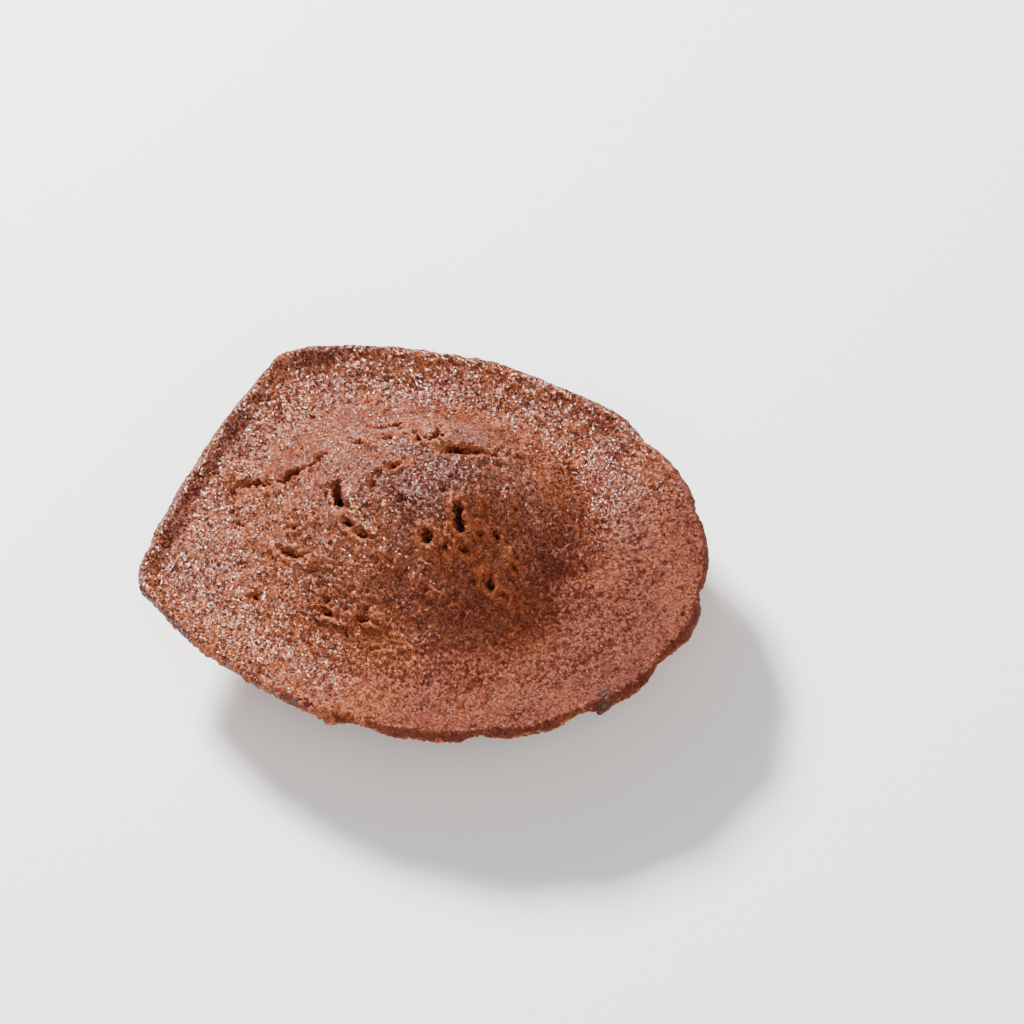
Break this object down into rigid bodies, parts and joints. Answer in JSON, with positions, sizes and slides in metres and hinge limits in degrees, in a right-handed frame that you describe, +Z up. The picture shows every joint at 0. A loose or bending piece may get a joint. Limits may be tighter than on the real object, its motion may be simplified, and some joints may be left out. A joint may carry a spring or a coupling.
{
  "type": "madeleine cake",
  "caption": "Shell-shaped chocolate sponge cake with a cracked hump, a scalloped fan end and a blunt tail, lying shell down.",
  "frame": {"origin": "under the middle of the cake, on the surface that it rests on", "axes": "+X along the length from the blunt tail to the scalloped fan, +Z up out of the hump"},
  "size_m": [0.0802, 0.061, 0.0287],
  "materials": {
    "crust": "baked brown sponge crust with a fine moist grain"
  },
  "bodies": {
    "root": {"madeleine": "crust"}
  },
  "joints": []
}
